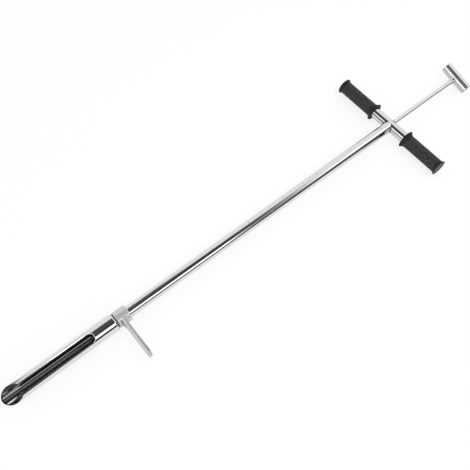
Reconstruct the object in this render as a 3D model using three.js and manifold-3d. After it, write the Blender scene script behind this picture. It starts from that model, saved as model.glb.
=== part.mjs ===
// A soil sampling probe: a slotted sampling tube on a graduated shaft, a foot collar that slides on the
// shaft as a depth stop, a crossbar with two rubber grips, and a push rod that ejects the soil core.
// It lies on its grips with the rod pulled out. Millimetres, +X from the cutting tip to the push handle,
// +Y along the crossbar, +Z up. The origin is on the ground, under the middle of its length.
// A station is a distance along the tool from the cutting tip.

import * as THREE from "three";
import { mergeVertices } from "three/addons/utils/BufferGeometryUtils.js";
import Module from "manifold-3d";

const wasm = await Module();
wasm.setup();

// Clearances
const seatGap = 0.3;
const runningGap = 0.3;
const overrun = 6;

// Sampling tube, an oblique mouth ground to an edge, and a slot with a round upper end
const barrelDiameter = 38;
const barrelWall = 1.5;
const barrelLength = 256;
const mouthCutLength = 43.5;
const mouthBevel = 1.9;
const slotWidth = 20.5;
const slotLength = 207.5;
const slotTurn = THREE.MathUtils.degToRad(21);

// Head that closes the sampling tube and carries the shaft
const headHeight = 19;
const flangeThickness = 3;
const flangeEdgeRadius = 1.5;
const neckDiameter = 32;
const neckHeight = 2.1;
const socketDepth = 12;
const wiperDiameter = 20;
const wiperThickness = 3;
const headBushDiameter = 13;
const headBushFlange = 17;
const headBushFlangeThickness = 1.5;

// Shaft
const shaftDiameter = 25;
const shaftWall = 2;
const shaftReach = 779; // from the top of the sampling tube to the crossbar's axis
const firstMark = 105; // from the top of the sampling tube to the first depth mark
const markSpacing = 100;
const markCount = 7;
const markWidth = 0.9;
const markDepth = 0.35;

// Foot collar: a cast sleeve with an arm for the foot, and a grub screw
const collarDiameter = 35;
const collarLength = 29.6;
const collarEdgeRadius = 2.4;
const armReach = 107.5; // from the shaft's axis to the arm's tip
const armWidth = 10.2; // along the shaft
const armDepth = 9;
const armOffset = 1.7; // how far the arm's middle is nearer the tip than the sleeve's middle
const armEdgeRadius = 1.8;
const armTipSlope = 13; // how far back the tip's upper corner is cut away
const armTipRadius = 4;
const armTipFlat = 2.5;
const armTurn = THREE.MathUtils.degToRad(-5);
const webReach = 40; // from the shaft's axis to where the arm's root has thinned to the arm's own depth
const flareReach = 27; // the same for its width
const flareWidth = 19;
const rootAngle = THREE.MathUtils.degToRad(32); // where the root leaves the sleeve, seen along the shaft
const grubDiameter = 8;
const grubSocket = 4; // across the flats
const grubSocketDepth = 2.4;

// Crossbar and grips
const crossbarDiameter = 25;
const crossbarWall = 2;
const gripOuterEnd = 158; // from the shaft's axis to the end of a grip
const gripLength = 107;
const gripDiameter = 31.4;
const gripFlangeDiameter = 43;
const gripFlangeLip = 1.6;
const gripFlangeDish = 2.2;
const gripConeLength = 8;
const gripRimDiameter = 38;
const gripRimLip = 1.6;
const gripRimFlare = 7;
const gripDome = 1.8;
const gripEndWall = 4;

// Guide bush in the crossbar
const crossBushDiameter = 13;
const crossBushProud = 1.2;
const crossBushChamfer = 0.6;

// Push rod and its handle
const rodDiameter = 9.5;
const rodChamfer = 0.8;
const stroke = 198;
const closedGap = 1;
const handleDiameter = 25;
const handleWall = 2;
const handleLength = 76;
const handleTurn = THREE.MathUtils.degToRad(13.5);
const capLip = 1.5;
const capSpigot = 6;
const capChamfer = 0.6;
const bossDiameter = 18;
const bossFoot = 12.2;
const bossHeight = 8;

// Piston on the lower end of the rod
const shoulderDiameter = 14;
const shoulderLength = 8;
const shoulderPin = 2.5;
const washerDiameter = 18;
const washerThickness = 1.6;
const pistonDiameter = 33.8;
const pistonThickness = 9;
const pistonChamfer = 0.8;
const ringGrooveDepth = 2.4;
const ringGrooveWidth = 4;
const nutAcrossFlats = 15;
const nutThickness = 6.5;
const rodEndPast = 1.5; // how far the rod's end shows below the nut

// Facets round each turned piece
const barrelSides = 48;
const shaftSides = 40;
const gripSides = 40;
const collarSides = 48;
const rodSides = 24;
const pinSides = 12;
const hexagonSides = 6;
const arcSteps = 10;
const edgeSteps = 4;
const rootSteps = 6;
const tipSteps = 6;

// Sizes that follow from the above
const barrelRadius = barrelDiameter / 2;
const boreRadius = barrelRadius - barrelWall;
const shaftRadius = shaftDiameter / 2;
const shaftBore = shaftRadius - shaftWall;
const crossbarRadius = crossbarDiameter / 2;
const rodRadius = rodDiameter / 2;
const rodBore = (rodRadius + runningGap) / Math.cos(Math.PI / rodSides);
const headBottom = barrelLength - headHeight;
const socketFloor = barrelLength - socketDepth;
const collarBottom = barrelLength + neckHeight + seatGap;
const crossbarStation = barrelLength + shaftReach;
const closedHandle = crossbarRadius + crossBushProud + closedGap + bossHeight + handleDiameter / 2;
const handleStation = crossbarStation + closedHandle + stroke;
const overallLength = handleStation + handleDiameter / 2;
const lyingHeight = gripFlangeDiameter / 2;

// Materials
const chrome = new THREE.MeshStandardMaterial({ color: 0xe6e8ea, metalness: 1, roughness: 0.12 });
const castAlloy = new THREE.MeshStandardMaterial({ color: 0xb9bbbc, metalness: 0.7, roughness: 0.5 });
const gripRubber = new THREE.MeshStandardMaterial({ color: 0x2b2c2e, metalness: 0, roughness: 0.8 });
const sealRubber = new THREE.MeshStandardMaterial({ color: 0x1c1c1d, metalness: 0, roughness: 0.7 });
const bronze = new THREE.MeshStandardMaterial({ color: 0xb08a4a, metalness: 1, roughness: 0.4 });
const turnedSteel = new THREE.MeshStandardMaterial({ color: 0x9a9da0, metalness: 1, roughness: 0.35 });

// A closed surface as a solid: shared vertices merged, empty faces at the poles dropped, faces outward.
function solidOf(geometry) {
  const bare = geometry.index ? geometry.toNonIndexed() : geometry.clone();
  bare.deleteAttribute("normal");
  bare.deleteAttribute("uv");
  const merged = mergeVertices(bare);
  const places = merged.getAttribute("position");
  const index = merged.getIndex().array;
  const corners = [];
  const a = new THREE.Vector3();
  const b = new THREE.Vector3();
  const c = new THREE.Vector3();
  let volume = 0;
  for (let i = 0; i < index.length; i += 3) {
    const [p, q, r] = [index[i], index[i + 1], index[i + 2]];
    if (p !== q && q !== r && r !== p) {
      corners.push([p, q, r]);
      volume += a.fromBufferAttribute(places, p).dot(
        b.fromBufferAttribute(places, q).cross(c.fromBufferAttribute(places, r)),
      );
    }
  }
  const facing = volume < 0 ? corners.map(([p, q, r]) => [p, r, q]) : corners;
  return new wasm.Manifold(
    new wasm.Mesh({
      numProp: 3,
      vertProperties: new Float32Array(places.array),
      triVerts: new Uint32Array(facing.flat()),
    }),
  );
}

// A named mesh of a solid.
function meshOf(name, solid, material) {
  const { vertProperties, triVerts } = solid.getMesh();
  const geometry = new THREE.BufferGeometry();
  geometry.setAttribute("position", new THREE.BufferAttribute(new Float32Array(vertProperties), 3));
  geometry.setIndex(new THREE.BufferAttribute(new Uint32Array(triVerts), 1));
  geometry.computeVertexNormals();
  const mesh = new THREE.Mesh(geometry, material);
  mesh.name = name;
  return mesh;
}

// A piece turned about the X axis from points [station, radius]. An outline that leaves the axis is closed.
function turned(points, sides) {
  const closed = points[0][1] === 0 ? points : [...points, points[0]];
  const outline = closed.map(([station, radius]) => new THREE.Vector2(radius, station));
  return new THREE.LatheGeometry(outline, sides).rotateZ(-Math.PI / 2);
}

// A plain round bar along X, for pins and for cutting holes.
function bar(from, to, radius, sides) {
  return turned([[from, 0], [from, radius], [to, radius], [to, 0]], sides);
}

// A quarter round of an outline, from one angle to another about a centre, as [station, radius] points.
function quarter(station, radius, size, fromTurns, toTurns) {
  const points = [];
  for (let step = 0; step <= edgeSteps; step += 1) {
    const angle = 2 * Math.PI * (fromTurns + ((toTurns - fromTurns) * step) / edgeSteps);
    points.push([station + size * Math.cos(angle), radius + size * Math.sin(angle)]);
  }
  return points;
}

// Turns a piece that lies along X so that it lies along Y.
function across(geometry) {
  return geometry.rotateZ(Math.PI / 2);
}

// A skin through rings of points, each ring joined to the next. A hollow piece joins its last ring to its
// first, and any other has a flat face on each of the two.
function loft(rings, hollow) {
  const count = rings[0].length;
  const places = rings.flat().flatMap((point) => point.toArray());
  const faces = [];
  const joined = hollow ? rings.length : rings.length - 1;
  for (let row = 0; row < joined; row += 1) {
    const next = (row + 1) % rings.length;
    for (let column = 0; column < count; column += 1) {
      const beside = (column + 1) % count;
      const [a, b] = [row * count + column, row * count + beside];
      const [c, d] = [next * count + beside, next * count + column];
      faces.push(a, b, c, a, c, d);
    }
  }
  const last = (rings.length - 1) * count;
  for (let column = 1; column < count - 1 && !hollow; column += 1) {
    faces.push(0, column + 1, column);
    faces.push(last, last + column, last + column + 1);
  }
  const geometry = new THREE.BufferGeometry();
  geometry.setAttribute("position", new THREE.Float32BufferAttribute(places, 3));
  geometry.setIndex(faces);
  return geometry;
}

// The sampling tube. Its mouth is a slanting plane that the bore's edge lies in, and the outside is ground
// back from that edge. The slot opens at the mouth.
function samplingTube() {
  const mouthAt = (height) => (mouthCutLength * (height + boreRadius)) / (2 * boreRadius);
  const ring = (radius, stationAt) => {
    const points = [];
    for (let side = 0; side < barrelSides; side += 1) {
      const angle = (2 * Math.PI * side) / barrelSides;
      const height = radius * Math.cos(angle);
      points.push(new THREE.Vector3(stationAt(height), -radius * Math.sin(angle), height));
    }
    return points;
  };
  const top = barrelLength - flangeThickness - seatGap;
  const wall = solidOf(loft([
    ring(boreRadius, mouthAt),
    ring(boreRadius, () => top),
    ring(barrelRadius, () => top),
    ring(barrelRadius, (height) => mouthAt(height) + mouthBevel),
  ], true));
  const halfSlot = slotWidth / 2;
  const slot = new THREE.Shape();
  slot.moveTo(-overrun, -halfSlot);
  slot.lineTo(slotLength - halfSlot, -halfSlot);
  slot.absarc(slotLength - halfSlot, 0, halfSlot, -Math.PI / 2, Math.PI / 2, false);
  slot.lineTo(-overrun, halfSlot);
  slot.closePath();
  const cutter = new THREE.ExtrudeGeometry(slot, {
    depth: barrelRadius + overrun,
    curveSegments: arcSteps,
    bevelEnabled: false,
  });
  const tube = meshOf("sampling_tube", wall.subtract(solidOf(cutter)), chrome);
  tube.rotation.x = slotTurn;
  return tube;
}

// The head: a spigot in the tube, a rounded flange over its end, and a neck that the foot collar rests on.
function barrelHead() {
  const spigot = boreRadius - seatGap;
  const socket = shaftRadius + seatGap;
  const bushHole = headBushDiameter / 2 + seatGap;
  const recess = wiperDiameter / 2 + seatGap;
  const recessTop = headBottom + wiperThickness + seatGap;
  const flangeTop = barrelLength - flangeEdgeRadius;
  return meshOf("barrel_head", solidOf(turned([
    [headBottom, recess],
    [headBottom, spigot],
    [barrelLength - flangeThickness, spigot],
    [barrelLength - flangeThickness, barrelRadius],
    ...quarter(flangeTop, barrelRadius - flangeEdgeRadius, flangeEdgeRadius, 0.25, 0),
    [barrelLength, neckDiameter / 2],
    [barrelLength + neckHeight, neckDiameter / 2],
    [barrelLength + neckHeight, socket],
    [socketFloor, socket],
    [socketFloor, bushHole],
    [recessTop, bushHole],
    [recessTop, recess],
  ], barrelSides)), chrome);
}

// The bush that guides the rod through the head, with its flange inside the shaft.
function headBush() {
  const flangeBottom = socketFloor + seatGap;
  return meshOf("head_bush", solidOf(turned([
    [headBottom + wiperThickness + seatGap, rodBore],
    [headBottom + wiperThickness + seatGap, headBushDiameter / 2],
    [flangeBottom, headBushDiameter / 2],
    [flangeBottom, headBushFlange / 2],
    [flangeBottom + headBushFlangeThickness, headBushFlange / 2],
    [flangeBottom + headBushFlangeThickness, rodBore],
  ], rodSides)), bronze);
}

// The ring that wipes soil off the rod, in the head's recess.
function rodWiper() {
  return meshOf("rod_wiper", solidOf(turned([
    [headBottom, rodBore],
    [headBottom, wiperDiameter / 2],
    [headBottom + wiperThickness, wiperDiameter / 2],
    [headBottom + wiperThickness, rodBore],
  ], rodSides)), sealRubber);
}

// The shaft, with a ring cut into it at each depth mark and its upper end cut to the round of the crossbar.
function shaftTube() {
  const marks = Array.from({ length: markCount }, (_, mark) => {
    const station = barrelLength + firstMark + mark * markSpacing;
    return [
      [station - markWidth / 2, shaftRadius],
      [station, shaftRadius - markDepth],
      [station + markWidth / 2, shaftRadius],
    ];
  });
  const tube = solidOf(turned([
    [socketFloor + seatGap, shaftBore],
    [socketFloor + seatGap, shaftRadius],
    ...marks.flat(),
    [crossbarStation, shaftRadius],
    [crossbarStation, shaftBore],
  ], shaftSides));
  const cope = across(bar(-barrelRadius, barrelRadius, crossbarRadius + seatGap, shaftSides));
  return meshOf("shaft_tube", tube.subtract(solidOf(cope.translate(crossbarStation, 0, 0))), chrome);
}

// The crossbar, drilled across for the guide bush.
function crossbarTube() {
  const half = gripOuterEnd - gripEndWall - seatGap;
  const tube = across(turned([
    [-half, crossbarRadius - crossbarWall],
    [-half, crossbarRadius],
    [half, crossbarRadius],
    [half, crossbarRadius - crossbarWall],
  ], shaftSides));
  const reach = crossbarRadius + overrun;
  const hole = bar(-reach, reach, crossBushDiameter / 2 + seatGap, rodSides);
  return meshOf("crossbar_tube", solidOf(tube).subtract(solidOf(hole)), chrome);
}

// The bush that guides the rod through the crossbar. It ends a little above the bar and inside the shaft.
function crossbarBush() {
  const top = crossbarRadius + crossBushProud;
  const bottom = -crossbarRadius - crossBushProud;
  const radius = crossBushDiameter / 2;
  return meshOf("crossbar_bush", solidOf(turned([
    [bottom, rodBore],
    [bottom, radius],
    [top - crossBushChamfer, radius],
    [top, radius - crossBushChamfer],
    [top, rodBore],
  ], rodSides)), bronze);
}

// A rubber grip, along X from its inner flange to its closed outer end: a dished flange on a cone, a round
// body, and a flared rim round a low dome.
function grip(name) {
  const bore = crossbarRadius + seatGap;
  const body = gripDiameter / 2;
  const flange = gripFlangeDiameter / 2;
  const rim = gripRimDiameter / 2;
  const coneEnd = gripFlangeLip + gripConeLength;
  const rimStation = gripLength - gripDome - gripRimLip;
  const coneShares = [0.33, 0.5];
  const domeShares = [[0, 1], [0.55, 0.72], [0.9, 0.36], [1, 0]];
  const dome = domeShares.map(([rise, out]) => [
    gripLength - gripDome * (1 - rise),
    (rim - gripRimLip) * out,
  ]);
  return meshOf(name, solidOf(turned([
    [gripLength - gripEndWall, 0],
    [gripLength - gripEndWall, bore],
    [gripFlangeDish, bore],
    [gripFlangeDish, crossbarRadius + gripFlangeDish],
    [0, flange - gripFlangeLip],
    [gripFlangeLip / 2, flange],
    [gripFlangeLip, flange],
    [gripFlangeLip + gripConeLength * coneShares[0], flange + (body - flange) * coneShares[1]],
    [coneEnd, body],
    [gripLength - gripDome - gripRimLip - gripRimFlare, body],
    [rimStation - gripRimLip, rim - gripRimLip],
    [rimStation, rim],
    [rimStation + gripRimLip / 2, rim],
    ...dome,
  ], gripSides)), gripRubber);
}

// A rounded rectangle in X and Z at a place along Y, as a ring of points.
function armRing(along, left, right, halfDepth, edge) {
  const corners = [[right - edge, halfDepth - edge], [left + edge, halfDepth - edge],
    [left + edge, edge - halfDepth], [right - edge, edge - halfDepth]];
  return corners.flatMap(([x, z], corner) => Array.from({ length: edgeSteps }, (_, step) => {
    const angle = (Math.PI / 2) * (corner + step / (edgeSteps - 1));
    return new THREE.Vector3(x + edge * Math.cos(angle), along, z + edge * Math.sin(angle));
  }));
}

// The foot arm, from inside the sleeve to its tip. Its root gets less wide and less deep in a hollow curve.
// At the tip the upper corner is cut away in a long round and the lower one in a short one.
function footArm() {
  const radius = collarDiameter / 2;
  const halfWidth = armWidth / 2;
  const halfDepth = armDepth / 2;
  const rootStart = radius * Math.sin(rootAngle);
  const rootDepth = radius * Math.cos(rootAngle);
  const left = (reach, start) => (1 - Math.min(1, (reach - rootStart) / (start - rootStart))) ** 2;
  const rings = [];
  for (let step = 0; step <= rootSteps; step += 1) {
    const reach = rootStart + ((webReach - rootStart) * step) / rootSteps;
    const side = halfWidth + (flareWidth / 2 - halfWidth) * left(reach, flareReach);
    const depth = halfDepth + (rootDepth - halfDepth) * left(reach, webReach);
    rings.push(armRing(-reach, -side, side, depth, armEdgeRadius));
  }
  for (let step = 0; step <= tipSteps; step += 1) {
    const share = Math.sin((Math.PI / 2) * (step / tipSteps));
    const reach = armReach - armTipSlope * (1 - share);
    const gone = Math.max(0, 1 - (armReach - reach) / armTipRadius);
    const round = 1 - Math.sqrt(1 - gone ** 2);
    const upper = halfWidth - (armWidth - armTipRadius - armTipFlat) * (1 - Math.sqrt(1 - share ** 2));
    rings.push(armRing(-reach, armTipRadius * round - halfWidth, upper, halfDepth - armEdgeRadius * round,
      armEdgeRadius * (1 - round / 2)));
  }
  return loft(rings, false);
}

// The foot collar: the sleeve and the arm are cast in one, and bored for the shaft and the grub screw.
function footCollar() {
  const middle = collarLength / 2;
  const radius = collarDiameter / 2;
  const bore = (shaftRadius + runningGap) / Math.cos(Math.PI / collarSides);
  const sleeve = solidOf(turned([
    [-middle, 0],
    ...quarter(collarEdgeRadius - middle, radius - collarEdgeRadius, collarEdgeRadius, 0.5, 0.25),
    ...quarter(middle - collarEdgeRadius, radius - collarEdgeRadius, collarEdgeRadius, 0.25, 0),
    [middle, 0],
  ], collarSides));
  const shaftHole = solidOf(bar(-collarLength, collarLength, bore, collarSides));
  const screwHole = solidOf(across(bar(0, collarDiameter, grubDiameter / 2 + seatGap, rodSides)));
  const arm = solidOf(footArm().translate(-armOffset, 0, 0));
  const casting = sleeve.add(arm).subtract(shaftHole).subtract(screwHole);
  return meshOf("foot_collar", casting, castAlloy);
}

// The grub screw that clamps the collar, opposite the arm and just under the sleeve's surface.
function grubScrew() {
  const tip = shaftRadius + runningGap;
  const head = collarDiameter / 2 - seatGap;
  const screw = solidOf(across(bar(tip, head, grubDiameter / 2, rodSides)));
  const corner = grubSocket / Math.sqrt(3);
  const socket = solidOf(across(bar(head - grubSocketDepth, head + overrun, corner, hexagonSides)));
  return meshOf("collar_grub_screw", screw.subtract(socket), turnedSteel);
}

// The push rod, drilled for the shoulder's pin, with its upper end inside the handle.
function pushRod(rodBottom, pinStation) {
  const handleBore = handleDiameter / 2 - handleWall;
  const top = handleStation + Math.sqrt(handleBore ** 2 - rodRadius ** 2) - seatGap;
  const rod = solidOf(turned([
    [rodBottom, 0],
    [rodBottom, rodRadius - rodChamfer],
    [rodBottom + rodChamfer, rodRadius],
    [top - rodChamfer, rodRadius],
    [top, rodRadius - rodChamfer],
    [top, 0],
  ], rodSides));
  return meshOf("push_rod", rod.subtract(pinHole(pinStation)), chrome);
}

// A hole across the rod and its shoulder for the pin.
function pinHole(pinStation) {
  const reach = shoulderDiameter;
  const hole = across(bar(-reach, reach, shoulderPin / 2 + seatGap, pinSides));
  return solidOf(hole.translate(pinStation, 0, 0));
}

// The handle tube, along Y, with a hole in its lower wall for the rod.
function handleTube() {
  const half = handleLength / 2 - capLip - seatGap;
  const radius = handleDiameter / 2;
  const tube = across(turned([
    [-half, radius - handleWall],
    [-half, radius],
    [half, radius],
    [half, radius - handleWall],
  ], shaftSides));
  const hole = bar(-radius - overrun, 0, rodBore, rodSides);
  return meshOf("handle_tube", solidOf(tube).subtract(solidOf(hole)), chrome);
}

// The weld boss at the rod's upper end: a hollow-sided cone shaped to the underside of the handle.
function handleBoss() {
  const radius = handleDiameter / 2;
  const swell = (bossDiameter - bossFoot) / 2;
  const sideShares = [[0, 0], [0.3, 0.06], [0.55, 0.22], [0.8, 0.56], [1, 1]];
  const side = sideShares.map(([rise, out]) => [
    -radius - bossHeight * (1 - rise),
    bossFoot / 2 + swell * out,
  ]);
  const cone = solidOf(turned([
    [-radius - bossHeight, rodBore],
    ...side,
    [0, bossDiameter / 2],
    [0, rodBore],
  ], rodSides));
  const saddle = across(bar(-handleLength, handleLength, radius + seatGap, shaftSides));
  return meshOf("handle_boss", cone.subtract(solidOf(saddle)), chrome);
}

// A cap pressed into an end of the handle, along X with its face at the origin.
function handleCap(name) {
  const radius = handleDiameter / 2;
  return meshOf(name, solidOf(turned([
    [0, 0],
    [0, radius - capChamfer],
    [-capChamfer, radius],
    [-capLip, radius],
    [-capLip, radius - handleWall - seatGap],
    [-capLip - capSpigot, radius - handleWall - seatGap],
    [-capLip - capSpigot, 0],
  ], shaftSides)), chrome);
}

// A flat ring round the rod from a station up.
function rodRing(from, thickness, diameter) {
  return solidOf(turned([
    [from, rodBore],
    [from, diameter / 2],
    [from + thickness, diameter / 2],
    [from + thickness, rodBore],
  ], rodSides));
}

// A washer beside the piston.
function washer(name, from) {
  return meshOf(name, rodRing(from, washerThickness, washerDiameter), turnedSteel);
}

// The shoulder that the piston pushes against, drilled for its pin.
function rodShoulder(from, pinStation) {
  const ring = rodRing(from, shoulderLength, shoulderDiameter);
  return meshOf("rod_shoulder", ring.subtract(pinHole(pinStation)), turnedSteel);
}

// The pin through the rod and its shoulder.
function rodPin(pinStation) {
  const half = shoulderDiameter / 2 - seatGap;
  const pin = across(bar(-half, half, shoulderPin / 2, pinSides));
  return meshOf("shoulder_pin", solidOf(pin.translate(pinStation, 0, 0)), turnedSteel);
}

// The piston, with a groove for its ring.
function pistonDisc(from) {
  const radius = pistonDiameter / 2;
  const grooveBottom = from + (pistonThickness - ringGrooveWidth) / 2;
  const grooveTop = grooveBottom + ringGrooveWidth;
  return meshOf("piston_disc", solidOf(turned([
    [from, rodBore],
    [from, radius - pistonChamfer],
    [from + pistonChamfer, radius],
    [grooveBottom, radius],
    [grooveBottom, radius - ringGrooveDepth],
    [grooveTop, radius - ringGrooveDepth],
    [grooveTop, radius],
    [from + pistonThickness - pistonChamfer, radius],
    [from + pistonThickness, radius - pistonChamfer],
    [from + pistonThickness, rodBore],
  ], barrelSides)), turnedSteel);
}

// The ring that scrapes the bore, in the piston's groove.
function pistonRing(from) {
  const inner = pistonDiameter / 2 - ringGrooveDepth + seatGap;
  const outer = boreRadius * Math.cos(Math.PI / barrelSides) - runningGap;
  const bottom = from + (pistonThickness - ringGrooveWidth) / 2 + seatGap;
  const top = bottom + ringGrooveWidth - 2 * seatGap;
  return meshOf("piston_ring", solidOf(turned([
    [bottom, inner],
    [bottom, outer],
    [top, outer],
    [top, inner],
  ], barrelSides)), sealRubber);
}

// The nut on the rod's lower end, a turned hexagon.
function rodNut(from) {
  const corner = nutAcrossFlats / Math.sqrt(3);
  const hexagon = solidOf(bar(from, from + nutThickness, corner, hexagonSides));
  const hole = solidOf(bar(from - overrun, from + nutThickness + overrun, rodBore, rodSides));
  return meshOf("rod_nut", hexagon.subtract(hole), turnedSteel);
}

// The whole tool, in stations along X with its axis at the ground line, then raised and centred.
const probe = new THREE.Group();
probe.position.set(-overallLength / 2, 0, lyingHeight);

probe.add(samplingTube(), barrelHead(), headBush(), rodWiper(), shaftTube());

const crossbar = new THREE.Group();
crossbar.position.x = crossbarStation;
const leftGrip = grip("grip_left");
leftGrip.rotation.z = Math.PI / 2;
leftGrip.position.y = gripOuterEnd - gripLength;
const rightGrip = grip("grip_right");
rightGrip.rotation.z = -Math.PI / 2;
rightGrip.position.y = gripLength - gripOuterEnd;
crossbar.add(crossbarTube(), crossbarBush(), leftGrip, rightGrip);
probe.add(crossbar);

const collar = new THREE.Group();
collar.position.x = collarBottom + collarLength / 2;
collar.rotation.x = armTurn;
collar.add(footCollar(), grubScrew());
probe.add(collar);

// The stack on the rod's lower end, from the wiper down.
const shoulderTop = headBottom - seatGap;
const shoulderBottom = shoulderTop - shoulderLength;
const pinStation = (shoulderTop + shoulderBottom) / 2;
const upperWasherBottom = shoulderBottom - seatGap - washerThickness;
const pistonBottom = upperWasherBottom - seatGap - pistonThickness;
const lowerWasherBottom = pistonBottom - seatGap - washerThickness;
const nutBottom = lowerWasherBottom - seatGap - nutThickness;
probe.add(
  pushRod(nutBottom - rodEndPast, pinStation),
  rodShoulder(shoulderBottom, pinStation),
  rodPin(pinStation),
  washer("washer_upper", upperWasherBottom),
  pistonDisc(pistonBottom),
  pistonRing(pistonBottom),
  washer("washer_lower", lowerWasherBottom),
  rodNut(nutBottom),
);

const handle = new THREE.Group();
handle.position.x = handleStation;
handle.rotation.x = handleTurn;
const leftCap = handleCap("handle_cap_left");
leftCap.rotation.z = Math.PI / 2;
leftCap.position.y = handleLength / 2;
const rightCap = handleCap("handle_cap_right");
rightCap.rotation.z = -Math.PI / 2;
rightCap.position.y = -handleLength / 2;
handle.add(handleTube(), handleBoss(), leftCap, rightCap);
probe.add(handle);

export default probe;
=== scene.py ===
"""Finishes and smooth pieces of a soil sampling probe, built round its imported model.

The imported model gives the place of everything. The polished tubes, the cast collar, the rubber grips and the
handle are modelled again here with round sections and fine edges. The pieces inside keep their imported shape
and get their finish here. All lengths are metres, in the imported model's frame.
"""

import logging
import math
from collections.abc import Callable, Iterator
from contextlib import contextmanager
from dataclasses import dataclass, replace
from enum import Enum

import bpy
from mathutils import Matrix, Vector


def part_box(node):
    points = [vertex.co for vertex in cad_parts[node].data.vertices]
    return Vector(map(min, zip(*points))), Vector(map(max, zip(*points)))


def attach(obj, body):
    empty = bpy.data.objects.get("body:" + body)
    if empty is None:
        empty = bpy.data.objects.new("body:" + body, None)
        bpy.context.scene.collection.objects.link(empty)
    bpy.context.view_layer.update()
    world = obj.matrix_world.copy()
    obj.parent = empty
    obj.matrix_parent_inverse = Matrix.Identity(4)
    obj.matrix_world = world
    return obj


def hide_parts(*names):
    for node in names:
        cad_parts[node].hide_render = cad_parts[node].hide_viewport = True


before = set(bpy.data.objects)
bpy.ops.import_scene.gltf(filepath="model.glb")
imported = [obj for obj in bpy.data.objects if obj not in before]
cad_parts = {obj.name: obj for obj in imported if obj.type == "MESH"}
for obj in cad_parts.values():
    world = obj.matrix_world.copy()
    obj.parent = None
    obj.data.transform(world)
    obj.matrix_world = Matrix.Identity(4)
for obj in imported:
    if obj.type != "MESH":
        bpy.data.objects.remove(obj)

Piece = bpy.types.Object
Socket = bpy.types.NodeSocket
Outline = list[tuple[float, float]]

LOG = logging.getLogger("soil_probe")
MM = 0.001
ORIGIN = Vector((0, 0, 0))
X_AXIS = Vector((1, 0, 0))
Y_AXIS = Vector((0, 1, 0))
Z_AXIS = Vector((0, 0, 1))
# Turns that lay an upright cylinder along an axis.
ALONG_X = (0, math.pi / 2, 0)
ALONG_Y = (math.pi / 2, 0, 0)
# Points closer than this become one, and a point this near a plane lies on it.
MERGE_DISTANCE = 0.002 * MM
TOUCH = 0.01 * MM
# How far a face may lie off the round that it is looked for on.
SLACK = 0.1 * MM
# Room between pieces that are pushed into each other, and between welded ones.
FIT = 0.1 * MM
WELD_GAP = 0.05 * MM


class Body(Enum):
    """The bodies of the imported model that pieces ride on."""

    FRAME = "probe_frame"
    COLLAR = "depth_collar"
    ROD = "ejector_rod"


class Slot(Enum):
    """Names of the record's material slots for the new pieces."""

    CHROME = "chrome"
    CAST = "cast_alloy"
    GRIP = "grip_rubber"


# Nodes


def mm(along: float, across: float, up: float) -> Vector:
    """Gives a vector from its parts in millimetres."""
    return Vector((along * MM, across * MM, up * MM))


def linear(colour: str) -> tuple[float, float, float, float]:
    """Turns an sRGB hex colour to linear light.

    Args:
        colour: Six hex digits after a hash sign.

    Returns:
        Red, green and blue in linear light, and an alpha of 1.
    """
    parts = [int(colour[start:start + 2], 16) / 255 for start in (1, 3, 5)]
    red, green, blue = [part / 12.92 if part <= 0.04045 else ((part + 0.055) / 1.055) ** 2.4
                        for part in parts]
    return red, green, blue, 1.0


@dataclass(frozen=True)
class Edge:
    """Where something ends: nothing of it is seen at the start, and all of it at the end."""

    start: float
    end: float


@dataclass(frozen=True)
class Grain:
    """A random pattern: the size of its grains along each axis, and how much finer noise is in it."""

    size: Vector
    rough: float = 0.5


# Most of a noise lies between these values.
NOISE = Edge(0.3, 0.7)
NOISE_DETAIL = 3.0


@dataclass(frozen=True)
class NodeSheet:
    """A node tree that nodes are added to."""

    tree: bpy.types.NodeTree

    def add(self, kind: str, inputs: tuple | dict = (), **settings: object) -> Socket | None:
        """Adds a node with its settings and links.

        Args:
            kind: The node's type, without the word ShaderNode.
            inputs: Values of its inputs, in their order or by name. An output among them is linked in.
            **settings: Properties of the node.

        Returns:
            Its first output, or None where it has none.
        """
        node = self.tree.nodes.new(f"ShaderNode{kind}")
        for name, value in settings.items():
            setattr(node, name, value)
        used = [socket for socket in node.inputs if socket.enabled]
        for key, value in inputs.items() if isinstance(inputs, dict) else enumerate(inputs):
            socket = node.inputs[key] if isinstance(key, str) else used[key]
            if isinstance(value, Socket):
                self.tree.links.new(value, socket)
            else:
                socket.default_value = value
        return next((socket for socket in node.outputs if socket.enabled), None)

    def mask(self, *sides: tuple[Socket, Edge], ease: str = "LINEAR") -> Socket:
        """Marks the place that lies inside some edges.

        Args:
            *sides: Values, each with an edge along it.
            ease: How the mark grows between an edge's start and its end.

        Returns:
            From 0, outside, to 1, inside all edges.
        """
        total = None
        for value, edge in sides:
            part = self.add("MapRange", (value, edge.start, edge.end, 0.0, 1.0), interpolation_type=ease)
            total = part if total is None else self.add("Math", (total, part), operation="MULTIPLY")
        return total


@dataclass(frozen=True)
class Surface(NodeSheet):
    """The node tree of a material, with its surface shader and the object coordinates."""

    shader: bpy.types.Node
    place: Socket

    def wire(self, name: str, value: Socket) -> None:
        """Links an output to an input of the shader."""
        self.tree.links.new(value, self.shader.inputs[name])

    def wired(self, name: str) -> Socket:
        """Gives the output that an input of the shader is linked to."""
        return self.shader.inputs[name].links[0].from_socket

    def grain(self, pattern: Grain) -> Socket:
        """Draws a random pattern.

        Args:
            pattern: The pattern.

        Returns:
            Its value, from 0 to 1.
        """
        scale = Vector([1 / size for size in pattern.size])
        mapped = self.add("Mapping", {"Vector": self.place, "Scale": scale})
        return self.add("TexNoise", {"Vector": mapped, "Scale": 1.0, "Detail": NOISE_DETAIL,
                                     "Roughness": pattern.rough})


# Finishes


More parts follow.
